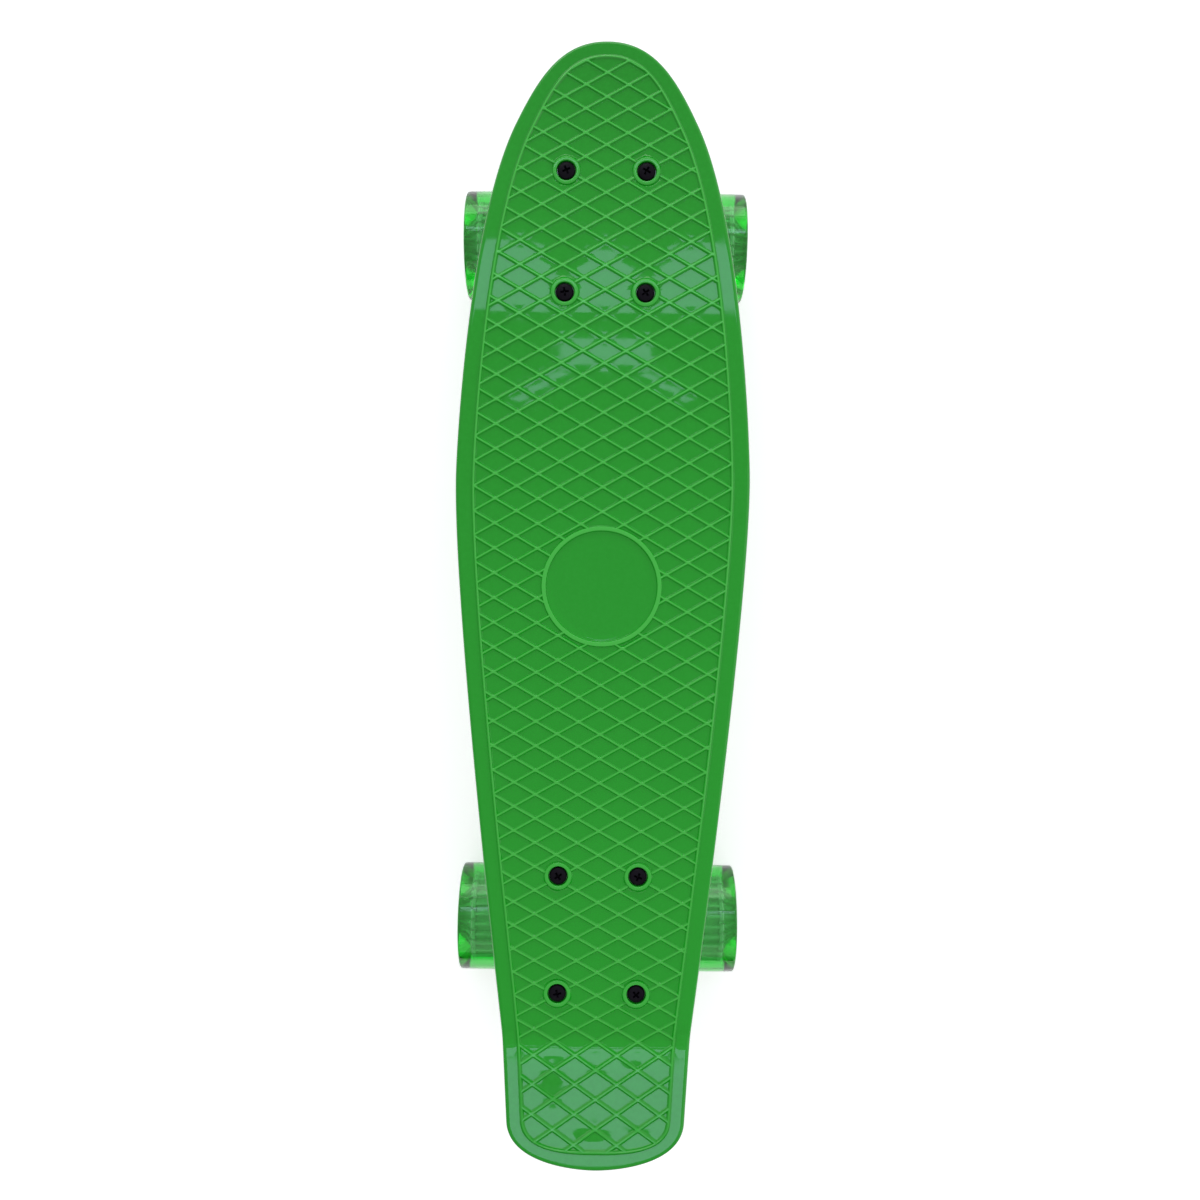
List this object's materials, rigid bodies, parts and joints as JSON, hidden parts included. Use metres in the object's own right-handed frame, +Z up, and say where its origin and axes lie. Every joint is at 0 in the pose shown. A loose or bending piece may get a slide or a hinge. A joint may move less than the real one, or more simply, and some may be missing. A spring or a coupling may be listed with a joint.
{
  "type": "skateboard",
  "caption": "Plastic cruiser skateboard: ribbed green deck with a bent-up tail, two cast kingpin trucks that lean on bushings, and soft translucent wheels on bearings.",
  "frame": {"origin": "on the floor, under the middle of the deck's length and width, with the board standing on its wheels", "axes": "+Y to the nose, +Z up, +X to the right of somebody who faces the nose"},
  "size_m": [0.153, 0.577, 0.1098],
  "materials": {
    "deck_plastic": "glossy moulded polypropylene, green",
    "urethane": "cast urethane, pale translucent green",
    "nylon": "moulded nylon, off-white",
    "cast_metal": "cast and tumbled",
    "zinc_steel": "zinc plated",
    "bearing_steel": "ground steel",
    "black_screw": "black oxide",
    "black_rubber": "matt",
    "bushing": "cast urethane, off-white"
  },
  "bodies": {
    "deck": {"deck": "deck_plastic", "deck_screw_front_outer_left": "black_screw", "deck_nut_front_outer_left": "zinc_steel", "deck_screw_front_outer_right": "black_screw", "deck_nut_front_outer_right": "zinc_steel", "deck_screw_front_inner_left": "black_screw", "deck_nut_front_inner_left": "zinc_steel", "deck_screw_front_inner_right": "black_screw", "deck_nut_front_inner_right": "zinc_steel", "deck_screw_rear_outer_left": "black_screw", "deck_nut_rear_outer_left": "zinc_steel", "deck_screw_rear_outer_right": "black_screw", "deck_nut_rear_outer_right": "zinc_steel", "deck_screw_rear_inner_left": "black_screw", "deck_nut_rear_inner_left": "zinc_steel", "deck_screw_rear_inner_right": "black_screw", "deck_nut_rear_inner_right": "zinc_steel", "front_baseplate": "cast_metal", "front_pivot_cup": "black_rubber", "front_kingpin": "zinc_steel", "front_bushing_board": "bushing", "front_bushing_road": "bushing", "front_washer_road": "zinc_steel", "front_kingpin_nut": "zinc_steel", "rear_baseplate": "cast_metal", "rear_pivot_cup": "black_rubber", "rear_kingpin": "zinc_steel", "rear_bushing_board": "bushing", "rear_bushing_road": "bushing", "rear_washer_road": "zinc_steel", "rear_kingpin_nut": "zinc_steel"},
    "front_hanger": {"front_hanger": "cast_metal", "front_axle": "zinc_steel", "front_axle_nut_left": "zinc_steel", "sleeve_front_left": "zinc_steel", "front_axle_nut_right": "zinc_steel", "sleeve_front_right": "zinc_steel"},
    "wheel_front_left": {"tyre_front_left": "urethane", "core_front_left": "nylon", "bearing_outer_front_left": "bearing_steel", "bearing_inner_front_left": "bearing_steel"},
    "wheel_front_right": {"tyre_front_right": "urethane", "core_front_right": "nylon", "bearing_outer_front_right": "bearing_steel", "bearing_inner_front_right": "bearing_steel"},
    "rear_hanger": {"rear_hanger": "cast_metal", "rear_axle": "zinc_steel", "rear_axle_nut_left": "zinc_steel", "sleeve_rear_left": "zinc_steel", "rear_axle_nut_right": "zinc_steel", "sleeve_rear_right": "zinc_steel"},
    "wheel_rear_left": {"tyre_rear_left": "urethane", "core_rear_left": "nylon", "bearing_outer_rear_left": "bearing_steel", "bearing_inner_rear_left": "bearing_steel"},
    "wheel_rear_right": {"tyre_rear_right": "urethane", "core_rear_right": "nylon", "bearing_outer_rear_right": "bearing_steel", "bearing_inner_rear_right": "bearing_steel"}
  },
  "joints": [
    {"name": "front_truck_lean", "type": "hinge", "parent": "deck", "child": "front_hanger", "pos_m": [0, 0.1777, 0.0495], "axis": [0, 0.9076, 0.4198], "range_deg": [-12, 12], "stiffness_Nm_per_rad": 15, "deforming": ["front_bushing_board", "front_bushing_road"]},
    {"name": "front_left_wheel_spin", "type": "hinge", "parent": "front_hanger", "child": "wheel_front_left", "pos_m": [-0.054, 0.1957, 0.0295], "axis": [1, 0, 0], "continuous": true},
    {"name": "front_right_wheel_spin", "type": "hinge", "parent": "front_hanger", "child": "wheel_front_right", "pos_m": [0.054, 0.1957, 0.0295], "axis": [1, 0, 0], "continuous": true},
    {"name": "rear_truck_lean", "type": "hinge", "parent": "deck", "child": "rear_hanger", "pos_m": [0, -0.1646, 0.0495], "axis": [0, -0.9076, 0.4198], "range_deg": [-12, 12], "stiffness_Nm_per_rad": 15, "deforming": ["rear_bushing_board", "rear_bushing_road"]},
    {"name": "rear_left_wheel_spin", "type": "hinge", "parent": "rear_hanger", "child": "wheel_rear_left", "pos_m": [-0.054, -0.1826, 0.0295], "axis": [1, 0, 0], "continuous": true},
    {"name": "rear_right_wheel_spin", "type": "hinge", "parent": "rear_hanger", "child": "wheel_rear_right", "pos_m": [0.054, -0.1826, 0.0295], "axis": [1, 0, 0], "continuous": true}
  ]
}
